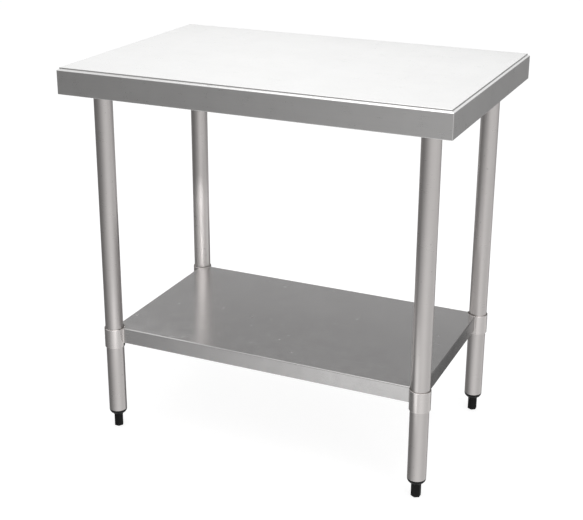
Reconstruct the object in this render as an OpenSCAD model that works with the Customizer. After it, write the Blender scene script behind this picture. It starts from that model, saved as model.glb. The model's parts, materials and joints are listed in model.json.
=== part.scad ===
// Stainless work table with a height-adjustable undershelf and levelling feet.
// Millimetres, +Z up. The origin is on the floor under the middle of the table,
// with the width along X and the front of the table towards -Y.

/* [Worktop] */
// Width of the worktop
top_w = 900; // [600:10:1800]
// Depth of the worktop
top_d = 600; // [500:10:800]
// Height of the work surface above the floor
table_h = 900; // [700:5:1100]
// Height of the folded edge of the worktop
top_edge_h = 60; // [58:1:90]
// Thickness of the worktop sheet
top_sheet = 1.2; // [0.8:0.1:1.5]
// Distance from the outer face of the edge to the step around the field
rim_inset = 5; // [3:0.5:12]
// Height of the small upright step around the field
rim_step = 3.5; // [1.5:0.5:4]
// Drop of the sloping rim outside the step
rim_drop = 2.5; // [2:0.5:8]
// Width of the lip folded in under the edge
top_lip_w = 10; // [6:1:25]
// Radius of the folds and ground corners of the worktop
top_bend_r = 2; // [1:0.25:3]

/* [Channels under the worktop] */
// Width of the two cross channels that carry the legs
cross_channel_w = 90; // [60:1:92]
// Width of the long channel between them
long_channel_w = 80; // [40:1:120]
// Depth of the channels under the worktop
channel_h = 20; // [12:1:25]
// Width of each glued flange of a channel
channel_flange_w = 14; // [8:1:16]
// Thickness of the channel sheet
channel_sheet = 1.5; // [1:0.1:2]
// Gap between the end of a channel and what it points at
channel_end_gap = 9; // [1:1:20]

/* [Legs] */
// Outside diameter of the leg tube
leg_d = 42.4; // [32:0.1:51]
// Wall thickness of the leg tube
leg_wall = 1.2; // [1:0.1:2]
// Distance from the end of the worktop to the middle of a leg
leg_inset_x = 66; // [66:1:150]
// Distance from the front or back of the worktop to the middle of a leg
leg_inset_y = 78; // [60:1:150]
// Height of the welded socket that holds the top of a leg
socket_h = 33; // [26:1:34]
// Wall thickness of the leg socket
socket_wall = 2.8; // [2:0.1:4]
// Radial clearance of a leg in its socket
socket_clearance = 0.2; // [0.1:0.05:0.5]

/* [Undershelf] */
// Height of the shelf surface above the floor
shelf_h = 262; // [200:1:500]
// Height of the folded edge of the shelf
shelf_edge_h = 38; // [32:1:50]
// Thickness of the shelf sheet
shelf_sheet = 1.2; // [0.8:0.1:1.6]
// Radius of the fold along the top of the shelf edge
shelf_bend_r = 3; // [1:0.25:4]
// Width of the lip folded in under the shelf edge
shelf_lip_w = 12; // [6:1:20]
// Width of the stiffening channel under the shelf
shelf_channel_w = 70; // [40:1:120]
// Depth of the stiffening channel under the shelf
shelf_channel_h = 25; // [12:1:26]

/* [Shelf collars] */
// Wall thickness of the collar that slides on each leg
collar_wall = 2.2; // [1.5:0.1:4]
// Radial clearance of a collar on its leg
collar_clearance = 0.3; // [0.1:0.05:0.6]
// Height that a collar stands above the shelf surface
collar_rise = 0; // [0:1:20]
// Height that a collar hangs below the shelf edge
collar_hang = 10; // [0:1:20]

/* [Set screws] */
// Thread diameter of the set screws
screw_d = 8; // [6:1:10]
// Length of a set screw
screw_len = 12; // [10:1:16]
// Size of the hexagon key that turns a set screw
screw_key = 4; // [2:0.5:4]
// Diameter of the threaded boss around a set screw
boss_d = 15; // [13:1:18]
// Height of the boss on its socket or collar
boss_h = 8; // [5:1:9]

/* [Levelling feet] */
// Height of the hexagonal foot
foot_h = 34.5; // [20:0.5:50]
// Width of the hexagonal foot across its flats
foot_flats = 20; // [16:1:24]
// Height of the rounded shoulder of the tube insert
shoulder_h = 11; // [6:0.5:16]
// Diameter of the shoulder where it meets the foot
shoulder_low_d = 25; // [24:0.5:30]
// Length of the insert inside the leg tube
insert_len = 22; // [18:1:40]
// Thickness of plastic between the stud and the floor
foot_floor = 11.5; // [5:0.5:15]
// Thread diameter of the foot's stud
stud_d = 10; // [8:1:12]
// Width of the nut in the insert across its flats
nut_flats = 17; // [15:1:21]
// Height of the nut in the insert
nut_h = 8; // [6:0.5:11]
// Distance that a foot can be screwed out
foot_travel = 20; // [5:1:30]

/* [Hidden] */

// Signs that pick a corner of the table
LEFT = -1;
RIGHT = 1;
FRONT = -1;
BACK = 1;
CORNERS = [[LEFT, FRONT], [RIGHT, FRONT], [LEFT, BACK], [RIGHT, BACK]];

// Fine resolution for everything round, and the steps in a folded corner
$fn = 96;
arc_steps = 5;
// A cut reaches this far past the surface that it opens
over = 1;
// Gap left where two pieces of one assembly are pressed together
seat_gap = 0.3;

// Middle of a leg
leg_x = top_w / 2 - leg_inset_x;
leg_y = top_d / 2 - leg_inset_y;
leg_r = leg_d / 2;

// Underside of the worktop sheet and of the channels
top_under = table_h - top_sheet;
channel_under = top_under - channel_h;
leg_top = channel_under - seat_gap;
// The foot leaves this gap under the shoulder when it is screwed right in
foot_gap = 0.5;
leg_bottom = foot_h + foot_gap + shoulder_h;

// Shelf levels
shelf_under = shelf_h - shelf_sheet;
shelf_edge_bottom = shelf_h - shelf_edge_h;
collar_r = leg_r + collar_clearance + collar_wall;
collar_top = shelf_h + collar_rise;
collar_bottom = shelf_edge_bottom - collar_hang;
// The shelf is notched this far clear of a collar, where the weld runs
weld_gap = 0.1;

// Set screws: how deep a boss runs into its ring, and the gaps at thread and leg
boss_root = 0.5;
thread_gap = 0.05;
tip_gap = 0.15;
key_depth = 4;
screw_chamfer = 0.8;
socket_r = leg_r + socket_clearance + socket_wall;
socket_screw_z = channel_under - socket_h / 2;
shelf_screw_z = (shelf_under + shelf_edge_bottom + shelf_sheet) / 2;

// Foot hardware
insert_gap = 0.15;
insert_r = leg_r - leg_wall - insert_gap;
insert_lead_in = 1;
nut_floor = 6;
nut_z = leg_bottom + nut_floor;
stud_spare = 2;
stud_top = nut_z + nut_h + foot_travel + stud_spare;
stud_chamfer = 1;
foot_chamfer = 1.6;
// Turn of each foot at rest: front left, front right, back left, back right
foot_turns = [0, 29, 40, 33];

STAINLESS = [0.72, 0.72, 0.73];
SATIN = [0.66, 0.66, 0.67];
GALVANISED = [0.6, 0.62, 0.64];
ZINC = [0.75, 0.75, 0.72];
BLACK = [0.06, 0.06, 0.06];

// Radius of a hexagon's corners from its width across the flats
function hex_r(flats) = flats / sqrt(3);

// Points of an arc of radius r that rounds one corner of an outline
function corner_arc(before, at, after, r) =
    r <= 0 ? [at] :
    let (
        to_before = (before - at) / norm(before - at),
        to_after = (after - at) / norm(after - at),
        half = acos(to_before * to_after) / 2,
        middle = (to_before + to_after) / norm(to_before + to_after),
        centre = at + middle * r / sin(half),
        first = (at + to_before * r / tan(half) - centre) / r,
        last = (at + to_after * r / tan(half) - centre) / r,
        sweep = 180 - 2 * half
    )
    [for (i = [0:arc_steps])
        let (a = sweep * i / arc_steps)
        centre + r * (sin(sweep - a) * first + sin(a) * last) / sin(sweep)];

// An outline with each corner rounded by its own radius
function rounded(points, radii) =
    let (n = len(points))
    [for (i = [0:n - 1]) each corner_arc(points[(i + n - 1) % n], points[i], points[(i + 1) % n], radii[i])];

// The right half of an outline, followed by its mirror image
function both_sides(half) =
    concat(half, [for (i = [len(half) - 1:-1:0]) [-half[i][0], half[i][1]]]);

function both_radii(radii) = concat(radii, [for (i = [len(radii) - 1:-1:0]) radii[i]]);

// Cross-section of the worktop, drawn in by inset from its outer faces
function top_section(half_size, inset) =
    let (
        slope = atan2(rim_drop, rim_inset),
        shift = inset * tan((90 - slope) / 2),
        step_r = min(top_bend_r, rim_step) / 2,
        edge = half_size - inset,
        field = edge - rim_inset
    )
    rounded(
        both_sides([
            [edge, table_h - top_edge_h + inset],
            [edge, table_h - rim_step - rim_drop - shift],
            [field, table_h - rim_step - shift],
            [field, table_h - inset]
        ]),
        both_radii([
            max(top_bend_r - inset, 0),
            max(top_bend_r - inset, 0),
            inset > 0 ? 0 : step_r,
            max(step_r - inset, 0)
        ])
    );

// Cross-section of the shelf, drawn in by inset from its outer faces
function shelf_section(half_size, inset) =
    rounded(
        both_sides([
            [half_size - inset, shelf_edge_bottom + inset],
            [half_size - inset, shelf_h - inset]
        ]),
        both_radii([
            max(top_bend_r - inset, 0),
            max(shelf_bend_r - inset, 0)
        ])
    );

// Solid whose front view is x_section and whose side view is y_section
module mitred_block(x_section, y_section, w, d) {
    intersection() {
        rotate([90, 0, 0]) linear_extrude(d + 2 * over, center = true) polygon(x_section);
        rotate([90, 0, 90]) linear_extrude(w + 2 * over, center = true) polygon(y_section);
    }
}

// Upright block with ground corners that trims the mitres of a folded sheet
module corner_trim(w, d, h, r) {
    corners = [[w / 2, d / 2], [-w / 2, d / 2], [-w / 2, -d / 2], [w / 2, -d / 2]];
    linear_extrude(h) polygon(rounded(corners, [r, r, r, r]));
}

// Hat-shaped channel along Y, with its flanges at z = 0 and its web below
module hat_channel(w, h, length) {
    inner_r = channel_sheet / 2;
    outer_r = inner_r + channel_sheet;
    section = both_sides([
        [w / 2 + channel_flange_w, 0],
        [w / 2 + channel_flange_w, -channel_sheet],
        [w / 2, -channel_sheet],
        [w / 2, -h]
    ]);
    radii = both_radii([0, 0, inner_r, outer_r]);
    hollow = both_sides([
        [w / 2 - channel_sheet, over],
        [w / 2 - channel_sheet, channel_sheet - h]
    ]);
    hollow_radii = both_radii([0, inner_r]);
    rotate([90, 0, 0])
        linear_extrude(length, center = true)
            difference() {
                polygon(rounded(section, radii));
                polygon(rounded(hollow, hollow_radii));
            }
}

// Turns its children from +X to face from a leg to the middle of the table
module at_leg(side_x, side_y) {
    translate([side_x * leg_x, side_y * leg_y, 0]) children();
}

module facing_in(side_x, side_y) {
    rotate([0, 0, atan2(-side_y, -side_x)]) children();
}

// Ring on a leg, with a threaded boss that faces the middle of the table
module clamp_ring(side_x, side_y, outer_r, clearance, bottom, top, screw_z) {
    lead_in = 0.6;
    bore_r = leg_r + clearance;
    at_leg(side_x, side_y)
        difference() {
            union() {
                rotate_extrude()
                    polygon([
                        [bore_r, bottom + lead_in],
                        [bore_r + lead_in, bottom],
                        [outer_r - lead_in, bottom],
                        [outer_r, bottom + lead_in],
                        [outer_r, top - lead_in],
                        [outer_r - lead_in, top],
                        [bore_r + lead_in, top],
                        [bore_r, top - lead_in]
                    ]);
                facing_in(side_x, side_y)
                    difference() {
                        translate([0, 0, screw_z])
                            rotate([0, 90, 0])
                                cylinder(h = outer_r + boss_h, d = boss_d);
                        translate([0, 0, bottom])
                            cylinder(h = top - bottom, r = outer_r - boss_root);
                    }
            }
            facing_in(side_x, side_y)
                translate([0, 0, screw_z])
                    rotate([0, 90, 0])
                        cylinder(h = outer_r + boss_h + over, d = screw_d + 2 * thread_gap);
        }
}

// Set screw through a boss, with its point against the leg
module set_screw(side_x, side_y, screw_z) {
    tip = leg_r + tip_gap;
    r = screw_d / 2;
    at_leg(side_x, side_y)
        facing_in(side_x, side_y)
            translate([tip, 0, screw_z])
                rotate([0, 90, 0])
                    difference() {
                        rotate_extrude()
                            polygon([
                                [0, 0],
                                [r - screw_chamfer, 0],
                                [r, screw_chamfer],
                                [r, screw_len - screw_chamfer],
                                [r - screw_chamfer, screw_len],
                                [0, screw_len]
                            ]);
                        translate([0, 0, screw_len - key_depth])
                            cylinder(h = key_depth + over, r = hex_r(screw_key), $fn = 6);
                    }
}

module worktop() {
    color(STAINLESS)
        difference() {
            intersection() {
                mitred_block(top_section(top_w / 2, 0), top_section(top_d / 2, 0), top_w, top_d);
                corner_trim(top_w, top_d, table_h + over, min(top_bend_r, 2 * top_sheet));
            }
            mitred_block(top_section(top_w / 2, top_sheet), top_section(top_d / 2, top_sheet), top_w, top_d);
            translate([0, 0, table_h - top_edge_h])
                cube([top_w - 2 * top_lip_w, top_d - 2 * top_lip_w, 4 * top_sheet], center = true);
        }
}

module cross_channel(side_x) {
    color(GALVANISED)
        translate([side_x * leg_x, 0, top_under])
            hat_channel(cross_channel_w, channel_h, top_d - 2 * (top_sheet + channel_end_gap));
}

module long_channel() {
    cross_reach = cross_channel_w / 2 + channel_flange_w;
    color(GALVANISED)
        translate([0, 0, top_under])
            rotate([0, 0, 90])
                hat_channel(long_channel_w, channel_h, 2 * (leg_x - cross_reach - channel_end_gap));
}

module leg_socket(side_x, side_y) {
    color(GALVANISED)
        clamp_ring(
            side_x, side_y, socket_r, socket_clearance,
            channel_under - socket_h, channel_under, socket_screw_z
        );
}

module leg_set_screws() {
    color(ZINC)
        for (corner = CORNERS)
            set_screw(corner[0], corner[1], socket_screw_z);
}

module leg(side_x, side_y) {
    color(SATIN)
        at_leg(side_x, side_y)
            translate([0, 0, leg_bottom])
                difference() {
                    cylinder(h = leg_top - leg_bottom, r = leg_r);
                    translate([0, 0, -over])
                        cylinder(h = leg_top - leg_bottom + 2 * over, r = leg_r - leg_wall);
                }
}

// Plastic insert: a plug in the tube and a rounded shoulder under it
module foot_insert(side_x, side_y) {
    low_r = shoulder_low_d / 2;
    shoulder_steps = 12;
    shoulder = [for (i = [0:shoulder_steps])
        let (a = 90 * i / shoulder_steps)
        [low_r + (leg_r - low_r) * sin(a), leg_bottom - shoulder_h * cos(a)]];
    color(BLACK)
        at_leg(side_x, side_y)
            difference() {
                rotate_extrude()
                    polygon(concat(
                        [[0, leg_bottom - shoulder_h]],
                        shoulder,
                        [
                            [insert_r, leg_bottom],
                            [insert_r, leg_bottom + insert_len - insert_lead_in],
                            [insert_r - insert_lead_in, leg_bottom + insert_len],
                            [0, leg_bottom + insert_len]
                        ]
                    ));
                cylinder(h = 2 * leg_bottom + insert_len, r = stud_d / 2 + seat_gap);
                translate([0, 0, nut_z - thread_gap])
                    cylinder(h = insert_len + leg_bottom, r = hex_r(nut_flats) + thread_gap, $fn = 6);
            }
}

// Nut held in the insert's hexagonal pocket
module foot_nut(side_x, side_y) {
    color(ZINC)
        at_leg(side_x, side_y)
            translate([0, 0, nut_z])
                difference() {
                    cylinder(h = nut_h, r = hex_r(nut_flats), $fn = 6);
                    translate([0, 0, -over])
                        cylinder(h = nut_h + 2 * over, r = stud_d / 2 + thread_gap);
                }
}

module foot_stud(side_x, side_y) {
    r = stud_d / 2;
    color(ZINC)
        at_leg(side_x, side_y)
            rotate_extrude()
                polygon([
                    [0, foot_floor],
                    [r - stud_chamfer, foot_floor],
                    [r, foot_floor + stud_chamfer],
                    [r, stud_top - stud_chamfer],
                    [r - stud_chamfer, stud_top],
                    [0, stud_top]
                ]);
}

// Hexagonal plastic foot with chamfered corners and a hole for the stud
module foot(side_x, side_y, turn) {
    corner_r = hex_r(foot_flats);
    color(BLACK)
        at_leg(side_x, side_y)
            rotate([0, 0, turn])
                difference() {
                    intersection() {
                        cylinder(h = foot_h, r = corner_r, $fn = 6);
                        rotate_extrude()
                            polygon([
                                [0, 0],
                                [corner_r - foot_chamfer, 0],
                                [corner_r + over, foot_chamfer + over],
                                [corner_r + over, foot_h - foot_chamfer - over],
                                [corner_r - foot_chamfer, foot_h],
                                [0, foot_h]
                            ]);
                    }
                    translate([0, 0, foot_floor - thread_gap])
                        cylinder(h = foot_h, r = stud_d / 2 + thread_gap);
                }
}

module shelf() {
    color(STAINLESS)
        difference() {
            mitred_block(shelf_section(leg_x, 0), shelf_section(leg_y, 0), 2 * leg_x, 2 * leg_y);
            mitred_block(
                shelf_section(leg_x, shelf_sheet), shelf_section(leg_y, shelf_sheet),
                2 * leg_x, 2 * leg_y
            );
            translate([0, 0, shelf_edge_bottom])
                cube([2 * (leg_x - shelf_lip_w), 2 * (leg_y - shelf_lip_w), 4 * shelf_sheet], center = true);
            for (corner = CORNERS)
                at_leg(corner[0], corner[1])
                    translate([0, 0, shelf_edge_bottom - over])
                        cylinder(h = shelf_edge_h + 2 * over, r = collar_r + weld_gap);
        }
}

module shelf_channel() {
    color(GALVANISED)
        translate([0, 0, shelf_under])
            rotate([0, 0, 90])
                hat_channel(shelf_channel_w, shelf_channel_h, 2 * (leg_x - shelf_lip_w - channel_end_gap));
}

module shelf_collar(side_x, side_y) {
    color(SATIN)
        clamp_ring(
            side_x, side_y, collar_r, collar_clearance,
            collar_bottom, collar_top, shelf_screw_z
        );
}

module shelf_set_screws() {
    color(ZINC)
        for (corner = CORNERS)
            set_screw(corner[0], corner[1], shelf_screw_z);
}

worktop();
cross_channel(LEFT);  // left_cross_channel
cross_channel(RIGHT);  // right_cross_channel
long_channel();
leg_socket(LEFT, FRONT);  // front_left_leg_socket
leg_socket(RIGHT, FRONT);  // front_right_leg_socket
leg_socket(LEFT, BACK);  // back_left_leg_socket
leg_socket(RIGHT, BACK);  // back_right_leg_socket
leg_set_screws();
leg(LEFT, FRONT);  // front_left_leg
leg(RIGHT, FRONT);  // front_right_leg
leg(LEFT, BACK);  // back_left_leg
leg(RIGHT, BACK);  // back_right_leg
foot_insert(LEFT, FRONT);  // front_left_foot_insert
foot_insert(RIGHT, FRONT);  // front_right_foot_insert
foot_insert(LEFT, BACK);  // back_left_foot_insert
foot_insert(RIGHT, BACK);  // back_right_foot_insert
foot_nut(LEFT, FRONT);  // front_left_foot_nut
foot_nut(RIGHT, FRONT);  // front_right_foot_nut
foot_nut(LEFT, BACK);  // back_left_foot_nut
foot_nut(RIGHT, BACK);  // back_right_foot_nut
foot_stud(LEFT, FRONT);  // front_left_foot_stud
foot_stud(RIGHT, FRONT);  // front_right_foot_stud
foot_stud(LEFT, BACK);  // back_left_foot_stud
foot_stud(RIGHT, BACK);  // back_right_foot_stud
foot(LEFT, FRONT, foot_turns[0]);  // front_left_foot
foot(RIGHT, FRONT, foot_turns[1]);  // front_right_foot
foot(LEFT, BACK, foot_turns[2]);  // back_left_foot
foot(RIGHT, BACK, foot_turns[3]);  // back_right_foot
shelf();
shelf_channel();
shelf_collar(LEFT, FRONT);  // front_left_shelf_collar
shelf_collar(RIGHT, FRONT);  // front_right_shelf_collar
shelf_collar(LEFT, BACK);  // back_left_shelf_collar
shelf_collar(RIGHT, BACK);  // back_right_shelf_collar
shelf_set_screws();
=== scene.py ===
import json
import math
import random

import bmesh
import bpy
from mathutils import Matrix, Vector
from mathutils.bvhtree import BVHTree
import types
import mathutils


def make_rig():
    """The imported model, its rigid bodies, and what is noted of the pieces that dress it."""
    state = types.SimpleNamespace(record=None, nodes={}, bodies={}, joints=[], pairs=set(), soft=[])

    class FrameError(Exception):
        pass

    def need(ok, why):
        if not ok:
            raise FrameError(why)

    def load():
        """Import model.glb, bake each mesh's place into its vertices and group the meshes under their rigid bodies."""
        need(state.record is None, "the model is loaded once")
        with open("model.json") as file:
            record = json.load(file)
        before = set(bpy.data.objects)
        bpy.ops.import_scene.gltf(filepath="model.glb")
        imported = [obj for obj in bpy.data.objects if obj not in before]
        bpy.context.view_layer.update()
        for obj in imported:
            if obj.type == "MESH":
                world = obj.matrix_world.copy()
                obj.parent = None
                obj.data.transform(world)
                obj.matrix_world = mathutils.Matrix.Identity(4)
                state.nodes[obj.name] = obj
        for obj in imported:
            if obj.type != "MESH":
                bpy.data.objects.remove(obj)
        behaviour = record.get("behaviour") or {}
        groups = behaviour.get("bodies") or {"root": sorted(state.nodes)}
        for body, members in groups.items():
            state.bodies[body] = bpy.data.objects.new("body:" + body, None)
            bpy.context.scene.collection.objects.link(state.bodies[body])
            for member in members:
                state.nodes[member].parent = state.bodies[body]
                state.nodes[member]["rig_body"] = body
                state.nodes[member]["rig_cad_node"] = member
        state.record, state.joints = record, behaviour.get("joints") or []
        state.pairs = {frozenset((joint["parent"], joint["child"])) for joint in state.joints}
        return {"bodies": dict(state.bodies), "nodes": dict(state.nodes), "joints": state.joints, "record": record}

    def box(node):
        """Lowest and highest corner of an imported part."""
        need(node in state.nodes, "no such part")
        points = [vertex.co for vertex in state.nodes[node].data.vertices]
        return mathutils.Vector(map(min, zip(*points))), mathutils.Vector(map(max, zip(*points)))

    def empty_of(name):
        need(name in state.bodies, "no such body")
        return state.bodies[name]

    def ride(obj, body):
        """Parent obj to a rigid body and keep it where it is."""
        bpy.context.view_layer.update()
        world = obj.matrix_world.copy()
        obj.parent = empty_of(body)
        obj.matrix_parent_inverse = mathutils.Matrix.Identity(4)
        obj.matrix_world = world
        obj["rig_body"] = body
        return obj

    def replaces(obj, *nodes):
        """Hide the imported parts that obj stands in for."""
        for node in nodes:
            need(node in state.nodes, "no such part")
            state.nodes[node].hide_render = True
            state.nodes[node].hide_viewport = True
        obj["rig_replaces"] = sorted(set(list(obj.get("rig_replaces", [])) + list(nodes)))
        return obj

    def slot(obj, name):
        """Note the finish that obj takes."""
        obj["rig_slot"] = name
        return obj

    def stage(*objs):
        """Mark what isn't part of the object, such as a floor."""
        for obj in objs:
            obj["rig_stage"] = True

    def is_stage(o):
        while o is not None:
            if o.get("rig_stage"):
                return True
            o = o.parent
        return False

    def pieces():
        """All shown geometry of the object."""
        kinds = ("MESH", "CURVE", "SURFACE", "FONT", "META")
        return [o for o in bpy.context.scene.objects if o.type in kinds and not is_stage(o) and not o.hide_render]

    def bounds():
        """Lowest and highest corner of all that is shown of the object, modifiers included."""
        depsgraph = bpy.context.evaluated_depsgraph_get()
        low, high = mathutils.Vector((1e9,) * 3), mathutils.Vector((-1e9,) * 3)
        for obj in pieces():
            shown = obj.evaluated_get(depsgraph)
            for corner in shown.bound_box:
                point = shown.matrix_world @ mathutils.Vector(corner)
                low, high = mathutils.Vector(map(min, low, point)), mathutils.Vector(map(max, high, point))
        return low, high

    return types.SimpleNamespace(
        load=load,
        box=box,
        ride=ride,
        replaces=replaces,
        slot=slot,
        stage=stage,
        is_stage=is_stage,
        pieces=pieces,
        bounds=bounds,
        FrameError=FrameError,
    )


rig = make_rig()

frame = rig.load()
cad_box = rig.bounds()

# Metres and radians throughout, in the CAD's frame: the front of the table
# faces -Y and the floor is at z = 0.
NODES = frame["nodes"]
CORNERS = ("front_left", "front_right", "back_left", "back_right")
MM = 0.001

# ---------------------------------------------------------------- image points
# Where the object's ends and features show, in pixels from the photograph's top
# left corner: x and y, or None where it isn't used. All but the welds' points
# are where the render shows them, up to 10 pixels from where the photograph does.
IMAGE_W, IMAGE_H = 583, 520
IMAGE_LONG = max(IMAGE_W, IMAGE_H)
IMAGE_POINTS = {
    "left_end": (56.4, None),
    "right_end": (529.9, None),
    "top_end": (None, 24.0),
    "bottom_end": (None, 497.4),
    "front_left_apron_corner": (57.9, 94.0),
    "front_right_apron_corner": (452.6, 140.9),
    "back_right_apron_corner": (528.2, 78.3),
    "back_left_surface_corner": (190.2, 24.0),
    "front_left_collar": (114.8, 336.8),
    "front_right_collar": (420.1, 400.5),
    "back_right_collar": (477.9, 322.8),
    "front_left_foot": (118.4, 416.2),
    "front_right_foot": (416.5, 487.0),
    "back_right_foot": (472.9, 400.3),
    "front_left_weld": (123.3, 335.8),
    "front_right_weld": (409.1, 395.0),
}

# ---------------------------------------------------------------------- camera
CAMERA_PLACE = Vector((1.0696, -2.4288, 1.4522))
CAMERA_YAW = math.radians(24.171)  # from +Y towards -X
CAMERA_PITCH = math.radians(-19.622)
CAMERA_ROLL = math.radians(0.257)
CAMERA_SHIFT_X = 0.0
CAMERA_SHIFT_Y = -0.06
SENSOR_WIDTH = 36.0
LENS = 73.742
CLIP_NEAR, CLIP_FAR = 0.1, 60.0


def make_camera():
    data = bpy.data.cameras.new("camera")
    data.sensor_fit = "AUTO"
    data.sensor_width = SENSOR_WIDTH
    data.lens = LENS
    data.shift_x = CAMERA_SHIFT_X
    data.shift_y = CAMERA_SHIFT_Y
    data.clip_start, data.clip_end = CLIP_NEAR, CLIP_FAR
    camera = bpy.data.objects.new("camera", data)
    bpy.context.scene.collection.objects.link(camera)
    turn = Matrix.Rotation(CAMERA_YAW, 4, "Z")
    tilt = Matrix.Rotation(math.pi / 2 + CAMERA_PITCH, 4, "X")
    roll = Matrix.Rotation(CAMERA_ROLL, 4, "Z")
    camera.matrix_world = Matrix.Translation(CAMERA_PLACE) @ turn @ tilt @ roll
    bpy.context.scene.camera = camera
    return camera


camera = make_camera()
bpy.context.view_layer.update()


def ray_through(x, y):
    """Direction in the world of the camera's ray through an image point."""
    local = Vector((
        x - IMAGE_W / 2 + CAMERA_SHIFT_X * IMAGE_LONG,
        IMAGE_H / 2 - y + CAMERA_SHIFT_Y * IMAGE_LONG,
        -IMAGE_LONG * LENS / SENSOR_WIDTH,
    ))
    return (camera.matrix_world.to_3x3() @ local).normalized()


def image_of(place):
    """Image point at which a place in the world shows."""
    local = camera.matrix_world.inverted() @ place
    scale = IMAGE_LONG * LENS / SENSOR_WIDTH / -local.z
    return (
        local.x * scale + IMAGE_W / 2 - CAMERA_SHIFT_X * IMAGE_LONG,
        IMAGE_H / 2 + CAMERA_SHIFT_Y * IMAGE_LONG - local.y * scale,
    )


def tree_of(objects):
    """One search tree of the finished meshes, and their corners in the world."""
    graph = bpy.context.evaluated_depsgraph_get()
    corners, faces = [], []
    for obj in objects:
        evaluated = obj.evaluated_get(graph)
        mesh = evaluated.to_mesh()
        start = len(corners)
        corners.extend(evaluated.matrix_world @ v.co for v in mesh.vertices)
        faces.extend([start + i for i in p.vertices] for p in mesh.polygons)
        evaluated.to_mesh_clear()
    return BVHTree.FromPolygons(corners, faces), corners


def on_surface(point_name, carriers):
    """Place on the carriers that an image point falls on, or nearest to its ray."""
    tree, corners = tree_of(carriers)
    direction = ray_through(*IMAGE_POINTS[point_name])
    hit = tree.ray_cast(CAMERA_PLACE, direction)[0]
    if hit is not None:
        return hit
    nearest = min(corners, key=lambda c: (c - CAMERA_PLACE).cross(direction).length)
    along = (nearest - CAMERA_PLACE).dot(direction)
    return tree.find_nearest(CAMERA_PLACE + direction * along)[0]


# ------------------------------------------------------------- shader building
class Shader:
    """A material under construction, with short calls for the common nodes. Each
    call takes sockets or values, and returns the socket that the result is on."""

    def __init__(self, name):
        self.material = bpy.data.materials.new(name)
        self.material.use_nodes = True
        self.tree = self.material.node_tree
        self.tree.nodes.clear()
        self.coordinates = self.node("ShaderNodeTexCoord").outputs["Object"]

    def node(self, kind, inputs=None, **settings):
        """Adds a node of a kind, and returns the node itself."""
        made = self.tree.nodes.new(kind)
        for key, value in settings.items():
            setattr(made, key, value)
        for key, value in (inputs or {}).items():
            if isinstance(value, bpy.types.NodeSocket):
                self.tree.links.new(value, made.inputs[key])
            else:
                made.inputs[key].default_value = value
        return made

    def maths(self, operation, a, b=0.0, c=0.0, clamp=False):
        made = self.node(
            "ShaderNodeMath", {0: a, 1: b, 2: c}, operation=operation, use_clamp=clamp
        )
        return made.outputs[0]

    def spread(self, noise, share, middle):
        """A share of the noise, whose own middle is 0.5, about another middle."""
        return self.maths("MULTIPLY_ADD", self.maths("SUBTRACT", noise, 0.5), share, middle)

    def vector(self, operation, a, b=(0.0, 0.0, 0.0)):
        made = self.node("ShaderNodeVectorMath", {0: a, 1: b}, operation=operation)
        return made.outputs["Vector"]

    def noise(self, scale_xyz, detail=2.0, roughness=0.5, source=None, offset=(0, 0, 0)):
        """Noise in 0..1 whose features are 1 / scale metres long on each axis."""
        mapping = self.node(
            "ShaderNodeMapping",
            {"Vector": source or self.coordinates, "Scale": scale_xyz, "Location": offset},
        )
        made = self.node("ShaderNodeTexNoise", {
            "Vector": mapping.outputs[0], "Scale": 1.0,
            "Detail": detail, "Roughness": roughness,
        })
        return made.outputs[0]

    def ranged(self, value, low, high, to_low, to_high):
        made = self.node("ShaderNodeMapRange", {
            "Value": value, "From Min": low, "From Max": high,
            "To Min": to_low, "To Max": to_high,
        })
        return made.outputs[0]

    def mix(self, factor, a, b):
        made = self.node("ShaderNodeMix", {0: factor, 6: a, 7: b}, data_type="RGBA")
        return made.outputs[2]

    def finish(self, shader):
        """Ends the material with its shader node, and returns the material."""
        self.node("ShaderNodeOutputMaterial", {"Surface": shader.outputs[0]})
        return self.material


def grey(value, tint=(1.0, 1.0, 1.0)):
    return (value * tint[0], value * tint[1], value * tint[2], 1.0)


# ------------------------------------------------------------------- materials
WARM = (1.03, 0.985, 0.965)
# The tint of the painted shade on upright faces
UPRIGHT_SHADE_TINT = (1.01, 0.997, 0.993)
NEUTRAL = (1.0, 1.0, 1.0)
# Noise features per metre, on x, y and z
TUBE_LINES, TUBE_STREAKS = (9, 9, 1400), (14, 14, 240)
SHEET_LINES, SHEET_END_LINES, SHEET_STREAKS = (6, 1300, 1300), (1300, 1300, 6), (9, 220, 220)
# The colour where the shade is 0 and where it is 1, as shares of the base colour
DARKEST, LIGHTEST, WHITEST = 0.72, 1.28, 0.98
# How much more than the shade the grain and the smudges change the roughness
ROUGH_SHARE = 1.6


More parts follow.
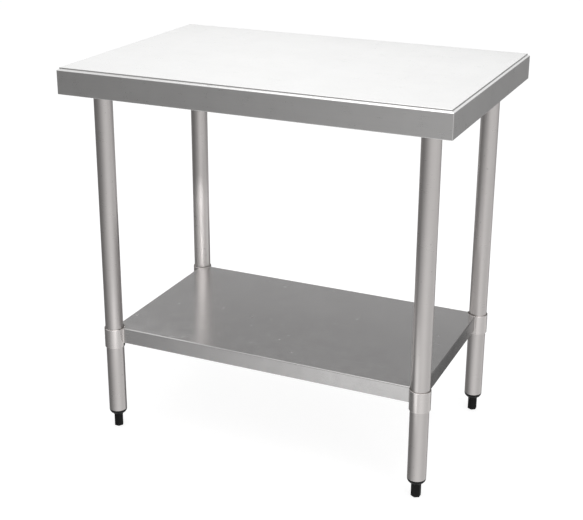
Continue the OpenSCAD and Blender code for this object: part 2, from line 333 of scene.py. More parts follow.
def steel(
    name, base, roughness, anisotropy, grain,
    line_depth=0.1, cloud=0.06, scratches=0.5, tint=WARM,
    painted_shade_cut_ends=False, upright=1.0, ends=1.0, bump_strength=0.10, pits=0.0,
):
    """Stainless steel with a fine grain: "x" runs along the sheet's length and
    down its folded ends, "around" runs round an upright tube. Upright faces and
    ends are painted darker by the shares upright and ends: painted shade for how
    the light falls on them. Level cut ends are painted dark and dull: painted shade
    of the gap round the leg, with some grime.
    line_depth, cloud, scratches and pits say how strongly each of them shows."""
    s = Shader(name)
    normal = s.node("ShaderNodeNewGeometry").outputs["Normal"]
    sides = s.node("ShaderNodeSeparateXYZ", {0: normal}).outputs
    facing = s.maths("ABSOLUTE", sides["X"])
    level = s.maths("ABSOLUTE", sides["Z"])
    if grain == "around":
        lines = s.noise(TUBE_LINES, 3, 0.65)
        streak_scale, tangent = TUBE_STREAKS, {}
    else:
        at_end = s.maths("GREATER_THAN", facing, 0.7)
        across = s.vector("MULTIPLY", s.coordinates, SHEET_END_LINES)
        along = s.vector("MULTIPLY", s.coordinates, SHEET_LINES)
        lines = s.noise((1, 1, 1), 3, 0.65, source=s.mix(at_end, along, across))
        grain_way = s.mix(at_end, (1.0, 0.0, 0.0, 1.0), (0.0, 0.0, 1.0, 1.0))
        streak_scale = SHEET_STREAKS
        tangent = {"Tangent": s.vector("CROSS_PRODUCT", normal, grain_way)}
    streaks = s.noise(streak_scale, 2, 0.5, offset=(3.1, 1.7, 0.4))
    clouds = s.noise((7, 9, 9), 3, 0.55, offset=(11.0, 4.0, 2.0))
    mottle = s.noise((26, 21, 24), 1, 0.5, offset=(7.0, 2.0, 5.0))
    smudges = s.noise((34, 27, 30), 4, 0.7, offset=(0.3, 6.0, 9.0))

    # Hairline scratches: thin bands where two stretched noises cross a level
    fine = s.noise((30, 420, 420), 1, 0.3, offset=(5.0, 0.0, 8.0))
    slanted = s.node("ShaderNodeMapping", {
        "Vector": s.coordinates, "Rotation": (0.4, 0.3, 0.55), "Scale": (380, 26, 260),
    }).outputs[0]
    coarse = s.noise((1, 1, 1), 1, 0.3, source=slanted)
    hair = s.maths("MAXIMUM",
                   s.ranged(fine, 0.70, 0.74, 0.0, 1.0),
                   s.ranged(coarse, 0.73, 0.76, 0.0, 1.0))
    patchy = s.ranged(smudges, 0.45, 0.62, 0.0, 1.0)
    scratch = s.maths("MULTIPLY", hair, s.maths("MULTIPLY", patchy, scratches))

    shade = s.spread(lines, line_depth, 0.5)
    shade = s.spread(streaks, line_depth, shade)
    shade = s.spread(clouds, cloud * 2, shade)
    shade = s.spread(mottle, cloud, shade)
    shade = s.maths("MULTIPLY_ADD", scratch, -0.12, shade)
    if pits:
        specks = s.noise((150, 150, 110), 2, 0.5, offset=(2.0, 9.0, 4.0))
        shade = s.maths("SUBTRACT", shade, s.ranged(specks, 0.69, 0.80, 0.0, pits))
    colour = s.mix(
        shade, grey(base * DARKEST, tint), grey(min(base * LIGHTEST, WHITEST), tint))
    rough = s.spread(lines, line_depth * ROUGH_SHARE, roughness)
    rough = s.spread(smudges, cloud * ROUGH_SHARE, rough)
    # Painted shade: upright faces and faces towards the ends take a darker colour, by the shares upright and ends, for
    # how the light falls on them.
    painted_shade_by_facing = (
        (upright, UPRIGHT_SHADE_TINT, s.ranged(level, 0.3, 0.6, 1.0, 0.0)),
        (ends, NEUTRAL, s.ranged(facing, 0.2, 0.5, 0.0, 1.0)),
    )
    for share, share_tint, where in painted_shade_by_facing:
        if share < 1.0:
            darker = s.mix(1.0, colour, grey(share, share_tint))
            darker.node.blend_type = "MULTIPLY"
            colour = s.mix(where, colour, darker)
    # Painted shade: level cut ends are painted dark and dull, standing in for the shaded gap round the leg, with some
    # grime.
    if painted_shade_cut_ends:
        cut = s.ranged(level, 0.80, 0.95, 0.0, 0.85)
        colour = s.mix(cut, colour, grey(0.05, (1.1, 0.95, 0.85)))
        rough = s.maths("MULTIPLY_ADD", cut, 0.35, rough)
    rough = s.maths("MULTIPLY_ADD", scratch, 0.12, rough, clamp=True)
    height = s.maths("MULTIPLY_ADD", streaks, 0.5, lines)
    height = s.maths("MULTIPLY_ADD", scratch, -0.8, height)
    bump = s.node("ShaderNodeBump", {
        "Strength": bump_strength, "Distance": 0.0002, "Height": height,
    })
    return s.finish(s.node("ShaderNodeBsdfPrincipled", {
        "Base Color": colour, "Metallic": 1.0, "Roughness": rough,
        "Anisotropic": anisotropy, "Normal": bump.outputs[0], **tangent,
    }))


def galvanised(name, base, roughness):
    """Zinc-dipped sheet: crystal spangle of a few millimetres, dull and cloudy."""
    s = Shader(name)
    warped = s.vector("ADD", s.coordinates, s.node("ShaderNodeTexNoise", {
        "Vector": s.coordinates, "Scale": 90.0, "Detail": 2.0}).outputs["Color"])
    cells = s.node("ShaderNodeTexVoronoi", {"Vector": warped, "Scale": 130.0})
    tone = s.node("ShaderNodeSeparateColor", {0: cells.outputs["Color"]}).outputs[0]
    clouds = s.noise((12, 12, 12), 3, 0.6)
    white_rust = s.ranged(s.noise((40, 40, 40), 4, 0.7, offset=(2, 5, 1)), 0.58, 0.75, 0, 1)
    shade = s.spread(clouds, 0.5, tone)
    colour = s.mix(
        s.maths("MULTIPLY", shade, 1.0, clamp=True),
        grey(base * 0.80, (0.97, 1.0, 1.03)), grey(base * 1.14, (0.98, 1.0, 1.02)),
    )
    colour = s.mix(s.maths("MULTIPLY", white_rust, 0.35), colour, grey(0.7))
    rough = s.maths("MULTIPLY_ADD", tone, 0.22, roughness)
    rough = s.maths("MULTIPLY_ADD", white_rust, 0.2, rough, clamp=True)
    bump = s.node("ShaderNodeBump", {
        "Strength": 0.12, "Distance": 0.0003,
        "Height": s.maths("ADD", tone, s.noise((700, 700, 700), 2, 0.6)),
    })
    return s.finish(s.node("ShaderNodeBsdfPrincipled", {
        "Base Color": colour, "Metallic": 0.92, "Roughness": rough,
        "Normal": bump.outputs[0],
    }))


def zinc_plated(name, base, roughness):
    """Bright zinc plate with its faint yellow and blue patches."""
    s = Shader(name)
    patches = s.noise((60, 60, 60), 3, 0.6)
    grime = s.ranged(s.noise((220, 220, 220), 4, 0.7, offset=(4, 1, 7)), 0.5, 0.75, 0, 1)
    colour = s.mix(patches, grey(base, (0.93, 0.98, 1.04)), grey(base, (1.04, 1.0, 0.88)))
    colour = s.mix(s.maths("MULTIPLY", grime, 0.5), colour, grey(base * 0.45))
    rough = s.maths("MULTIPLY_ADD", grime, 0.25, roughness)
    rough = s.maths("MULTIPLY_ADD", patches, 0.12, rough, clamp=True)
    bump = s.node("ShaderNodeBump", {
        "Strength": 0.15, "Distance": 0.0001, "Height": s.noise((2500, 2500, 2500), 2, 0.5),
    })
    return s.finish(s.node("ShaderNodeBsdfPrincipled", {
        "Base Color": colour, "Metallic": 1.0, "Roughness": rough,
        "Normal": bump.outputs[0],
    }))


def moulded_plastic(name, base, roughness, scuff_height):
    """Black moulded plastic: spark-eroded texture, dust, and scuffs near the floor."""
    s = Shader(name)
    height_up = s.node("ShaderNodeSeparateXYZ", {0: s.coordinates}).outputs["Z"]
    low_down = s.ranged(height_up, 0.0, scuff_height, 1.0, 0.0)
    scuffs = s.ranged(s.noise((260, 260, 900), 4, 0.7), 0.52, 0.66, 0.0, 1.0)
    scuffs = s.maths("MULTIPLY", scuffs, s.maths("MULTIPLY_ADD", low_down, 0.8, 0.12))
    mottle = s.noise((300, 300, 300), 3, 0.6, offset=(1, 2, 3))
    dust = s.ranged(s.noise((900, 900, 900), 3, 0.6, offset=(8, 2, 5)), 0.6, 0.8, 0.0, 0.4)
    colour = s.mix(mottle, grey(base * 0.75), grey(base * 1.35, (1.0, 1.0, 1.03)))
    colour = s.mix(s.maths("MULTIPLY", scuffs, 0.6), colour, grey(base * 4.0))
    colour = s.mix(s.maths("MULTIPLY", dust, 0.25), colour, grey(0.2, (1.0, 0.97, 0.92)))
    rough = s.maths("MULTIPLY_ADD", mottle, 0.14, roughness)
    rough = s.maths("MULTIPLY_ADD", scuffs, 0.2, rough, clamp=True)
    grainy = s.noise((2600, 2600, 2600), 2, 0.6)
    bump = s.node("ShaderNodeBump", {
        "Strength": 0.35, "Distance": 0.0001,
        "Height": s.maths("MULTIPLY_ADD", scuffs, -0.6, grainy),
    })
    return s.finish(s.node("ShaderNodeBsdfPrincipled", {
        "Base Color": colour, "Roughness": rough, "Specular IOR Level": 0.17,
        "Normal": bump.outputs[0],
    }))


# Painted shade: the worktop's upright faces (upright) and the shelf's ends (ends) are painted darker, and the collars'
# level cut ends are painted dark.
MATERIALS = {
    "worktop_steel": steel(
        "worktop_steel", 0.80, 0.30, 0.72, "x", line_depth=0.08,
        tint=(1.0, 1.0, 0.995), upright=0.80),
    "shelf_steel": steel(
        "shelf_steel", 0.61, 0.24, 0.75, "x", line_depth=0.03, cloud=0.10, scratches=0.05,
        tint=(1.012, 0.996, 0.99), ends=0.50, bump_strength=0.06),
    "leg_steel": steel(
        "leg_steel", 0.68, 0.29, 0.72, "around", line_depth=0.035, cloud=0.04,
        scratches=0.25, bump_strength=0.02, pits=0.4),
    "collar_steel": steel(
        "collar_steel", 0.76, 0.21, 0.5, "around", line_depth=0.05, cloud=0.05, painted_shade_cut_ends=True,
        bump_strength=0.08),
    "channel_steel": galvanised("channel_steel", 0.60, 0.34),
    "zinc_plate": zinc_plated("zinc_plate", 0.75, 0.28),
    "insert_plastic": moulded_plastic("insert_plastic", 0.010, 0.42, 0.02),
    "foot_plastic": moulded_plastic("foot_plastic", 0.009, 0.46, 0.02),
}


# ---------------------------------------------------- finish of the CAD's nodes
def smooth_by_angle(limit):
    """Geometry nodes that shade smooth, apart from edges sharper than limit."""
    group = bpy.data.node_groups.new("smooth_by_angle", "GeometryNodeTree")
    for way in ("INPUT", "OUTPUT"):
        group.interface.new_socket(
            "Geometry", in_out=way, socket_type="NodeSocketGeometry")
    nodes, links = group.nodes, group.links
    start, end = nodes.new("NodeGroupInput"), nodes.new("NodeGroupOutput")
    faces, edges = (nodes.new("GeometryNodeSetShadeSmooth") for _ in range(2))
    faces.domain, edges.domain = "FACE", "EDGE"
    angle = nodes.new("GeometryNodeInputMeshEdgeAngle")
    flat = nodes.new("FunctionNodeCompare")
    flat.operation = "LESS_THAN"
    flat.inputs["B"].default_value = limit
    links.new(angle.outputs["Unsigned Angle"], flat.inputs["A"])
    links.new(start.outputs[0], faces.inputs["Geometry"])
    links.new(faces.outputs[0], edges.inputs["Geometry"])
    links.new(flat.outputs[0], edges.inputs["Shade Smooth"])
    links.new(edges.outputs[0], end.inputs[0])
    return group


SMOOTHING = smooth_by_angle(math.radians(32))
CRISP_SMOOTHING = smooth_by_angle(math.radians(20))
JOIN_DISTANCE = 0.01 * MM
ONE_PLANE_ANGLE = math.radians(0.2)
WORN_EDGE_ANGLE = math.radians(50)


def finish_surface(obj, bevel=0.0, joined=False, smoothing=SMOOTHING):
    """Rounds sharp edges by bevel and shades folds smooth. A CAD node, whose
    faces come apart and in triangles, is first joined into one skin."""
    custom = obj.data.attributes.get("custom_normal")
    if custom is not None:
        obj.data.attributes.remove(custom)
    if not joined:
        weld = obj.modifiers.new("join_faces", "WELD")
        weld.merge_threshold = JOIN_DISTANCE
        flat = obj.modifiers.new("one_face_per_plane", "DECIMATE")
        flat.decimate_type = "DISSOLVE"
        flat.angle_limit = ONE_PLANE_ANGLE
    if bevel:
        edge = obj.modifiers.new("worn_edges", "BEVEL")
        edge.width = bevel
        edge.segments = 2
        edge.limit_method = "ANGLE"
        edge.angle_limit = WORN_EDGE_ANGLE
    smooth = obj.modifiers.new("smooth_by_angle", "NODES")
    smooth.node_group = smoothing
    normals = obj.modifiers.new("flat_faces_stay_flat", "WEIGHTED_NORMAL")
    normals.keep_sharp = True


EDGE_ROUNDING = {"leg": 0.35 * MM, "shelf_collar": 0.25 * MM, "channel": 0.2 * MM}


def finish_cad_nodes():
    slots = {m["slot"] for m in frame["record"]["materials"]}
    for name, obj in NODES.items():
        slot = obj.material_slots[0].material.name
        assert slot in slots
        obj.material_slots[0].material = MATERIALS[slot]
        rounding = [w for part, w in EDGE_ROUNDING.items() if name.endswith(part)]
        finish_surface(obj, rounding[0] if rounding else 0.0)


finish_cad_nodes()


# --------------------------------------------------------------- detail pieces
ROUND_STEPS = 72
UP = Vector((0, 0, 1))
leg_low, leg_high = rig.box("front_left_leg")
LEG_X = abs(leg_low.x + leg_high.x) / 2
LEG_Y = abs(leg_low.y + leg_high.y) / 2
LEG_R = (leg_high.x - leg_low.x) / 2
LEG_BOTTOM = leg_low.z


def sides_of(corner):
    """Signs of a corner's x and y."""
    return (-1 if "left" in corner else 1), (-1 if "front" in corner else 1)


def leg_middle(corner):
    side_x, side_y = sides_of(corner)
    return Vector((side_x * LEG_X, side_y * LEG_Y, 0.0))


def mesh_of(name, bm):
    mesh = bpy.data.meshes.new(name)
    bm.to_mesh(mesh)
    bm.free()
    return mesh


def add_piece(name, bm, slot, body, replaced=(), smoothing=SMOOTHING):
    """Makes a piece of the mesh in bm that rides on a body."""
    bmesh.ops.recalc_face_normals(bm, faces=bm.faces[:])
    mesh = mesh_of(name, bm)
    mesh.materials.append(MATERIALS[slot])
    piece = bpy.data.objects.new(name, mesh)
    bpy.context.scene.collection.objects.link(piece)
    finish_surface(piece, joined=True, smoothing=smoothing)
    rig.ride(piece, body)
    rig.slot(piece, slot)
    if replaced:
        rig.replaces(piece, *replaced)
    return piece


def skin(bm, rings, closed=False):
    """Faces between successive rings of corners, with flat ends unless closed."""
    made = [[bm.verts.new(place) for place in ring] for ring in rings]
    pairs = list(zip(made, made[1:]))
    if closed:
        pairs.append((made[-1], made[0]))
    for low, high in pairs:
        for i in range(len(low)):
            j = (i + 1) % len(low)
            bm.faces.new((low[i], low[j], high[j], high[i]))
    if not closed:
        bm.faces.new(reversed(made[0]))
        bm.faces.new(made[-1])


def hexagon_reach(angle, flats):
    """Distance from a hexagon's middle to its side, at an angle from a corner."""
    return flats / 2 / math.cos(angle % (math.pi / 3) - math.pi / 6)


def turned_ring(middle, height, radius, flats=None, turn=0.0):
    """Ring about an upright axis: round, or a hexagon across its flats whose
    corners are cut back to radius."""
    ring = []
    for i in range(ROUND_STEPS):
        angle = 2 * math.pi * i / ROUND_STEPS
        reach = min(radius, hexagon_reach(angle, flats)) if flats else radius
        place = Vector((math.cos(angle + turn), math.sin(angle + turn), 0.0)) * reach
        ring.append(middle + place * MM + UP * (height * MM))
    return ring


# Profiles in millimetres, from the sole's hollow up to the bore: height, radius,
# and the width across flats where it is a hexagon
FOOT_FLATS = 20.0
FOOT_PROFILE = (
    (0.9, 1.5, None), (0.9, 7.2, None), (0.5, 7.7, None), (0.1, 8.0, None),
    (0.0, 8.3, None), (0.0, 10.7, 19.0), (0.15, 11.0, 19.4), (0.6, 11.5, FOOT_FLATS),
    (1.0, 11.54, FOOT_FLATS), (16.0, 11.54, FOOT_FLATS), (30.0, 11.54, FOOT_FLATS),
    (30.3, 11.4, FOOT_FLATS), (30.6, 11.5, None), (30.9, 11.7, None), (31.5, 12.0, None),
    (33.4, 12.0, None), (34.1, 11.75, None), (34.5, 11.2, None), (34.5, 6.8, None),
    (34.2, 6.4, None), (33.0, 6.3, None), (32.8, 5.2, None), (11.4, 5.1, None),
)
FOOT_TURNS = {"front_left": 0, "front_right": 29, "back_left": 40, "back_right": 33}
# The insert's shoulder below the tube, its plug inside, and the nut's pocket
SHOULDER_H, SHOULDER_LOW_R, SHOULDER_EDGE, SHOULDER_STEPS = 11.0, 12.5, 0.25, 14
GROOVE_IN_R, GROOVE_OUT_R, GROOVE_DEPTH = 7.6, 11.0, 0.5
PLUG_R, PLUG_TOP, PLUG_CHAMFER = 19.85, 68.0, 1.0
NUT_FLATS, NUT_CORNER_R, NUT_Z = 17.1, 12.0, 51.95
STUD_HOLE_R, HOLE_CHAMFER = 5.3, 0.4


def insert_profile():
    bottom, leg_r = LEG_BOTTOM / MM, LEG_R / MM
    low = bottom - SHOULDER_H
    groove_top = low + GROOVE_DEPTH
    rows = [(low + HOLE_CHAMFER, STUD_HOLE_R), (low, STUD_HOLE_R + HOLE_CHAMFER),
            (low, GROOVE_IN_R), (groove_top, GROOVE_IN_R + 0.4),
            (groove_top, GROOVE_OUT_R - 0.4), (low, GROOVE_OUT_R),
            (low, SHOULDER_LOW_R - 0.4)]
    for i in range(1, SHOULDER_STEPS + 1):
        angle = math.pi / 2 * i / SHOULDER_STEPS
        rows.append((
            bottom - SHOULDER_EDGE - (SHOULDER_H - SHOULDER_EDGE) * math.cos(angle),
            SHOULDER_LOW_R + (leg_r - SHOULDER_LOW_R) * math.sin(angle),
        ))
    rows += [(bottom, leg_r - SHOULDER_EDGE), (bottom, PLUG_R),
             (PLUG_TOP - PLUG_CHAMFER, PLUG_R), (PLUG_TOP, PLUG_R - PLUG_CHAMFER)]
    return [(height, radius, None) for height, radius in rows] + [
        (PLUG_TOP, NUT_CORNER_R, NUT_FLATS), (NUT_Z, NUT_CORNER_R, NUT_FLATS),
        (NUT_Z, STUD_HOLE_R, None)]


def add_foot_pieces():
    inserts = insert_profile()
    for corner in CORNERS:
        middle = leg_middle(corner)
        turn = math.radians(FOOT_TURNS[corner])
        bm = bmesh.new()
        skin(bm, [turned_ring(middle, h, r, flats, turn) for h, r, flats in FOOT_PROFILE])
        add_piece(f"{corner}_moulded_foot", bm, "foot_plastic", f"{corner}_hex_foot",
                  [f"{corner}_foot"], CRISP_SMOOTHING)
        bm = bmesh.new()
        skin(bm, [turned_ring(middle, h, r, flats) for h, r, flats in inserts], closed=True)
        add_piece(f"{corner}_tube_insert", bm, "insert_plastic", "table_frame",
                  [f"{corner}_foot_insert"])


# One turn of a metric thread: share of the pitch, and how far in of its depth
THREAD_FORM = ((0.0, 0.0), (0.125, 0.0), (0.4375, 1.0), (0.6875, 1.0))
THREAD_DEPTH = 0.6134
THREAD_STEPS = 36
END_CHAMFER = 0.1


def threaded_rod(bm, place, radius, pitch, bottom, top, socket_flats=0.0, socket_depth=0.0):
    """Helical skin about place's Z axis between two chamfered ends, with a
    hexagonal socket in its top if asked. Sizes in millimetres."""
    depth = THREAD_DEPTH * pitch
    end_radius = radius - depth - END_CHAMFER
    known = {}

    def corner_at(reach, step, height):
        angle = 2 * math.pi * step / THREAD_STEPS
        local = Vector((reach * math.cos(angle), reach * math.sin(angle), height)) * MM
        return bm.verts.new(place @ local)

    low = [corner_at(end_radius, i, bottom) for i in range(THREAD_STEPS)]
    high = [corner_at(end_radius, i, top) for i in range(THREAD_STEPS)]

    def corner_of(row, step):
        if step == THREAD_STEPS:
            row, step = row + len(THREAD_FORM), 0
        if (row, step) not in known:
            turns, part = divmod(row, len(THREAD_FORM))
            share, cut = THREAD_FORM[part]
            height = bottom + (turns - 1 + share + step / THREAD_STEPS) * pitch
            if height <= bottom:
                known[row, step] = low[step]
            elif height >= top:
                known[row, step] = high[step]
            else:
                reach = min(radius - cut * depth, end_radius + height - bottom,
                            end_radius + top - height)
                known[row, step] = corner_at(reach, step, height)
        return known[row, step]

    rows = len(THREAD_FORM) * (math.ceil((top - bottom) / pitch) + 2)
    for row in range(rows):
        for step in range(THREAD_STEPS):
            loop = [corner_of(row, step), corner_of(row, step + 1),
                    corner_of(row + 1, step + 1), corner_of(row + 1, step)]
            distinct = list(dict.fromkeys(loop))
            if len(distinct) > 2:
                bm.faces.new(distinct)
    bm.faces.new(low)
    if not socket_flats:
        bm.faces.new(high)
        return
    for height in (top, top - socket_depth):
        hexagon = []
        for i in range(THREAD_STEPS):
            angle = 2 * math.pi * i / THREAD_STEPS
            hexagon.append(corner_at(hexagon_reach(angle, socket_flats), i, height))
        for i in range(THREAD_STEPS):
            j = (i + 1) % THREAD_STEPS
            bm.faces.new((high[i], high[j], hexagon[j], hexagon[i]))
        high = hexagon
    bm.faces.new(high)


# In millimetres, apart from the gap between a set screw's tip and its leg
STUD_THREAD_R, STUD_PITCH = 5.0, 1.5
SCREW_THREAD_R, SCREW_PITCH, SCREW_LENGTH = 4.0, 1.25, 12.0
SCREW_KEY, SCREW_KEY_DEPTH = 4.0, 4.0
SCREW_TIP_GAP = 0.15 * MM


def add_threads():
    for corner in CORNERS:
        low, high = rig.box(f"{corner}_foot_stud")
        bm = bmesh.new()
        threaded_rod(bm, Matrix.Translation(leg_middle(corner)), STUD_THREAD_R, STUD_PITCH,
                     low.z / MM, high.z / MM)
        add_piece(f"{corner}_thread_stud", bm, "zinc_plate", f"{corner}_stud",
                  [f"{corner}_foot_stud"])
    for name, node, body in (("leg_screws", "leg_set_screws", "table_frame"),
                             ("shelf_screws", "shelf_set_screws", "undershelf")):
        low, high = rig.box(node)
        bm = bmesh.new()
        for corner in CORNERS:
            side_x, side_y = sides_of(corner)
            inward = Vector((-side_x, -side_y, 0)).normalized()
            place = inward.to_track_quat("Z", "Y").to_matrix().to_4x4()
            place.translation = (
                leg_middle(corner) + inward * (LEG_R + SCREW_TIP_GAP)
                + UP * ((low.z + high.z) / 2))
            threaded_rod(bm, place, SCREW_THREAD_R, SCREW_PITCH, 0.0, SCREW_LENGTH,
                         SCREW_KEY, SCREW_KEY_DEPTH)
        add_piece(name, bm, "zinc_plate", body, [node])


# Weld beads: the step along them, the length of a wave and how far its middle
# leads, then corners round them, their height for their half width, and the shares
# of it that waves and wander add. The wander takes a new value every so many steps,
# and an end starts at BEAD_END of the full size and grows by BEAD_GROWTH a step.
BEAD_STEP, BEAD_RIPPLE, BEAD_LEAD = 0.45 * MM, 1.9 * MM, 0.8 * MM
BEAD_SIDES, BEAD_HEIGHT, BEAD_WAVE, BEAD_WANDER = 12, 0.62, 0.09, 0.07
BEAD_WANDER_STEPS, BEAD_END, BEAD_GROWTH = 6, 0.35, 0.16


def weld_bead(bm, path, outwards, half_width, chance):
    """Rippled bead along a path of places, with the way out at each. Its waves
    are crescents that trail behind its middle, as a weld freezes."""
    count = len(path)
    wander = [chance.uniform(-1, 1) for _ in range(count // BEAD_WANDER_STEPS + 3)]
    rings = []
    for i in range(count):
        ahead, behind = path[min(i + 1, count - 1)], path[max(i - 1, 0)]
        along = (ahead - behind).normalized()
        out = (outwards[i] - along * outwards[i].dot(along)).normalized()
        side = along.cross(out)
        part, rest = divmod(i / BEAD_WANDER_STEPS, 1)
        drift = wander[int(part)] * (1 - rest) + wander[int(part) + 1] * rest
        taper = min(1.0, BEAD_END + min(i, count - 1 - i) * BEAD_GROWTH)
        ring = []
        for k in range(BEAD_SIDES):
            angle = 2 * math.pi * k / BEAD_SIDES
            across, up = math.cos(angle), math.sin(angle)
            trail = i * BEAD_STEP + across * across * BEAD_LEAD
            wave = BEAD_WAVE * math.cos(2 * math.pi * trail / BEAD_RIPPLE)
            reach = half_width * taper * (1 + wave + BEAD_WANDER * drift)
            ring.append(path[i] + side * across * reach + out * up * reach * BEAD_HEIGHT)
        rings.append(ring)
    skin(bm, rings)


def line_between(start, end):
    count = max(int((end - start).length / BEAD_STEP), 4)
    return [start.lerp(end, i / count) for i in range(count + 1)]


def arc_about(middle, radius, start, end):
    """Places on a level arc from angle start to end."""
    count = max(int(abs(end - start) * radius / BEAD_STEP), 4)
    angles = [start + (end - start) * i / count for i in range(count + 1)]
    return [middle + Vector((math.cos(a), math.sin(a), 0)) * radius for a in angles]


def weld_boss(bm, middle, inward, ring_radius, boss_radius, height, half_width, chance):
    """Bead where a round boss meets the ring that it stands on."""
    level = Vector((-inward.y, inward.x, 0))
    count = int(2 * math.pi * boss_radius / BEAD_STEP)
    path, outwards = [], []
    for i in range(count + 1):
        angle = 2 * math.pi * i / count
        aside, up = boss_radius * math.sin(angle), boss_radius * math.cos(angle)
        reach = math.sqrt(ring_radius ** 2 - aside ** 2)
        path.append(middle + inward * reach + level * aside + UP * (height + up))
        outwards.append(inward + level * math.sin(angle) + UP * math.cos(angle))
    weld_bead(bm, path, outwards, half_width, chance)


BOSS_R = 7.6 * MM
WELD_HALF_WIDTH = 1.7 * MM
BOSS_WELD_HALF_WIDTH = 1.2 * MM
TOP_WELD_HALF_WIDTH = 0.8 * WELD_HALF_WIDTH
EDGE_WELD_HALF_WIDTH, EDGE_WELD_LENGTH = 1.5 * MM, 50 * MM
EDGE_WELD_INSET = 0.5 * MM
WELD_END_GAP = 0.5 * MM
SHEET = 1.2 * MM
FIRST_SEED = 40


def add_welds():
    # The mirrored pair of seams in view sets how far from a leg every seam runs,
    # and the level of its middle
    places = [on_surface(f"{corner}_weld", [NODES["shelf"], NODES[f"{corner}_shelf_collar"]])
              for corner in CORNERS[:2]]
    reach = sum(LEG_X - abs(place.x) for place in places) / 2
    level = sum(place.z for place in places) / 2
    shelf_low, shelf_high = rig.box("shelf")
    half_run = min(shelf_high.z - level, level - shelf_low.z) - WELD_END_GAP
    collar_r = -LEG_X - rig.box("front_left_shelf_collar")[0].x
    socket_low, socket_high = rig.box("front_left_leg_socket")
    socket_r = -LEG_X - socket_low.x
    low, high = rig.box("worktop")
    edge_x, edge_y = (side - SHEET - EDGE_WELD_INSET for side in (high.x, high.y))
    for number, corner in enumerate(CORNERS):
        side_x, side_y = sides_of(corner)
        middle = leg_middle(corner)
        inward = Vector((-side_x, -side_y, 0)).normalized()
        chance = random.Random(FIRST_SEED + number)

        def boss_bead(bm, ring_r, screws):
            screw_low, screw_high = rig.box(screws)
            weld_boss(bm, middle, inward, ring_r, BOSS_R, (screw_low.z + screw_high.z) / 2,
                      BOSS_WELD_HALF_WIDTH, chance)

        bm = bmesh.new()
        for inner, outer in ((Vector((-side_x, 0, 0)), Vector((0, side_y, 0))),
                             (Vector((0, -side_y, 0)), Vector((side_x, 0, 0)))):
            start = middle + inner * reach + UP * (level - half_run)
            path = line_between(start, start + UP * 2 * half_run)
            weld_bead(bm, path, [inner + outer] * len(path), WELD_HALF_WIDTH, chance)
        first = math.atan2(0, -side_x)
        turn = math.pi / 2 * side_x * side_y
        top = middle + UP * shelf_high.z
        path = arc_about(top, reach, first, first + turn)
        outwards = [(place - top).normalized() + UP for place in path]
        weld_bead(bm, path, outwards, TOP_WELD_HALF_WIDTH, chance)
        boss_bead(bm, collar_r, "shelf_set_screws")
        add_piece(f"{corner}_collar_weld", bm, "collar_steel", "undershelf")

        bm = bmesh.new()
        top = middle + UP * socket_high.z
        path = arc_about(top, socket_r, 0, 2 * math.pi)
        outwards = [(place - top).normalized() - UP for place in path]
        weld_bead(bm, path, outwards, WELD_HALF_WIDTH, chance)
        boss_bead(bm, socket_r, "leg_set_screws")
        add_piece(f"{corner}_socket_weld", bm, "channel_steel", "table_frame")

        bottom = Vector((side_x * edge_x, side_y * edge_y, low.z + SHEET))
        path = line_between(bottom, bottom + UP * EDGE_WELD_LENGTH)
        bm = bmesh.new()
        weld_bead(bm, path, [inward] * len(path), EDGE_WELD_HALF_WIDTH, chance)
        add_piece(f"{corner}_edge_weld", bm, "worktop_steel", "table_frame")


add_foot_pieces()
add_threads()
add_welds()


# ---------------------------------------------------------------- studio stage
FLOOR_HALF, FLOOR_STEPS = 14.0, 12
# The floor paper: what it returns of the light, and its own white for the camera
FLOOR_ALBEDO = 0.42
FLOOR_WHITE = 0.80

# The card round the set, which only reflections see: brightness by azimuth in
# degrees, from +X towards +Y, low down, in a band at table height, and high up.
# Between them it changes over the heights given.
WALL_RADIUS = 2.8
WALL_BOTTOM, WALL_TOP = -2.5, 2.6
LOW_TONES = (
    (-180, 0.17), (-160, 0.18), (-140, 0.27), (-114, 0.47), (-90, 0.67), (-66, 0.80),
    (-45, 0.80), (-25, 0.68), (2, 0.60), (28, 0.64), (50, 0.80), (60, 0.20), (72, 0.06),
    (98, 0.07), (114, 0.18), (134, 0.26), (155, 0.23), (180, 0.17),
)
BAND_TONES = (
    (-180, 0.16), (-140, 0.20), (-128, 0.24), (-114, 0.29), (-104, 0.37), (-66, 0.66),
    (-20, 0.72), (40, 0.58), (66, 0.22), (90, 0.28), (115, 0.40), (150, 0.30),
    (180, 0.16),
)
BAND_FROM, BAND_FULL, HIGH_FROM, HIGH_FULL = -0.35, -0.10, 1.20, 1.50
# High up they are shares of a level that is brighter than white
HIGH_TONES = (
    (-180, 0.72), (-50, 0.72), (-10, 0.50), (45, 0.22), (80, 0.80), (92, 0.89), (102, 0.93),
    (118, 1.0), (135, 1.0), (165, 0.85), (180, 0.72),
)
HIGH_LEVEL = 1.36

# Small cards near the table that only reflections see: middle, width along X,
# size along the second axis named, the axis along which the brightness changes,
# where the change starts and ends, and the brightness there. Past its size a card
# runs out over the feather.
CARD_FEATHER = 0.12
CARDS = {
    "card_behind_shelf": (
        (-0.36, 0.50, 0.61), 1.62, 0.50, "Z", "Z", (0.42, 0.66), (0.45, 0.31)),
    "card_before_shelf": (
        (-0.24, -0.83, -0.04), 0.95, 0.28, "Y", "X", (-0.70, 0.04), (0.32, 1.12)),
}


def add_stage_mesh(name, mesh, material):
    mesh.materials.append(material)
    obj = bpy.data.objects.new(name, mesh)
    bpy.context.scene.collection.objects.link(obj)
    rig.stage(obj)
    return obj


def only_in_reflections(obj):
    obj.visible_camera = False
    obj.visible_diffuse = False
    obj.visible_transmission = False
    obj.visible_volume_scatter = False
    obj.visible_shadow = False


def grid_mesh(name, origin, side_a, side_b, steps_a=1, steps_b=1):
    """Flat rectangle from origin along two sides, in steps."""
    bm = bmesh.new()
    rows = [[bm.verts.new(origin + side_a * (i / steps_a) + side_b * (j / steps_b))
             for i in range(steps_a + 1)] for j in range(steps_b + 1)]
    for low, high in zip(rows, rows[1:]):
        for i in range(steps_a):
            bm.faces.new((low[i], low[i + 1], high[i + 1], high[i]))
    return mesh_of(name, bm)


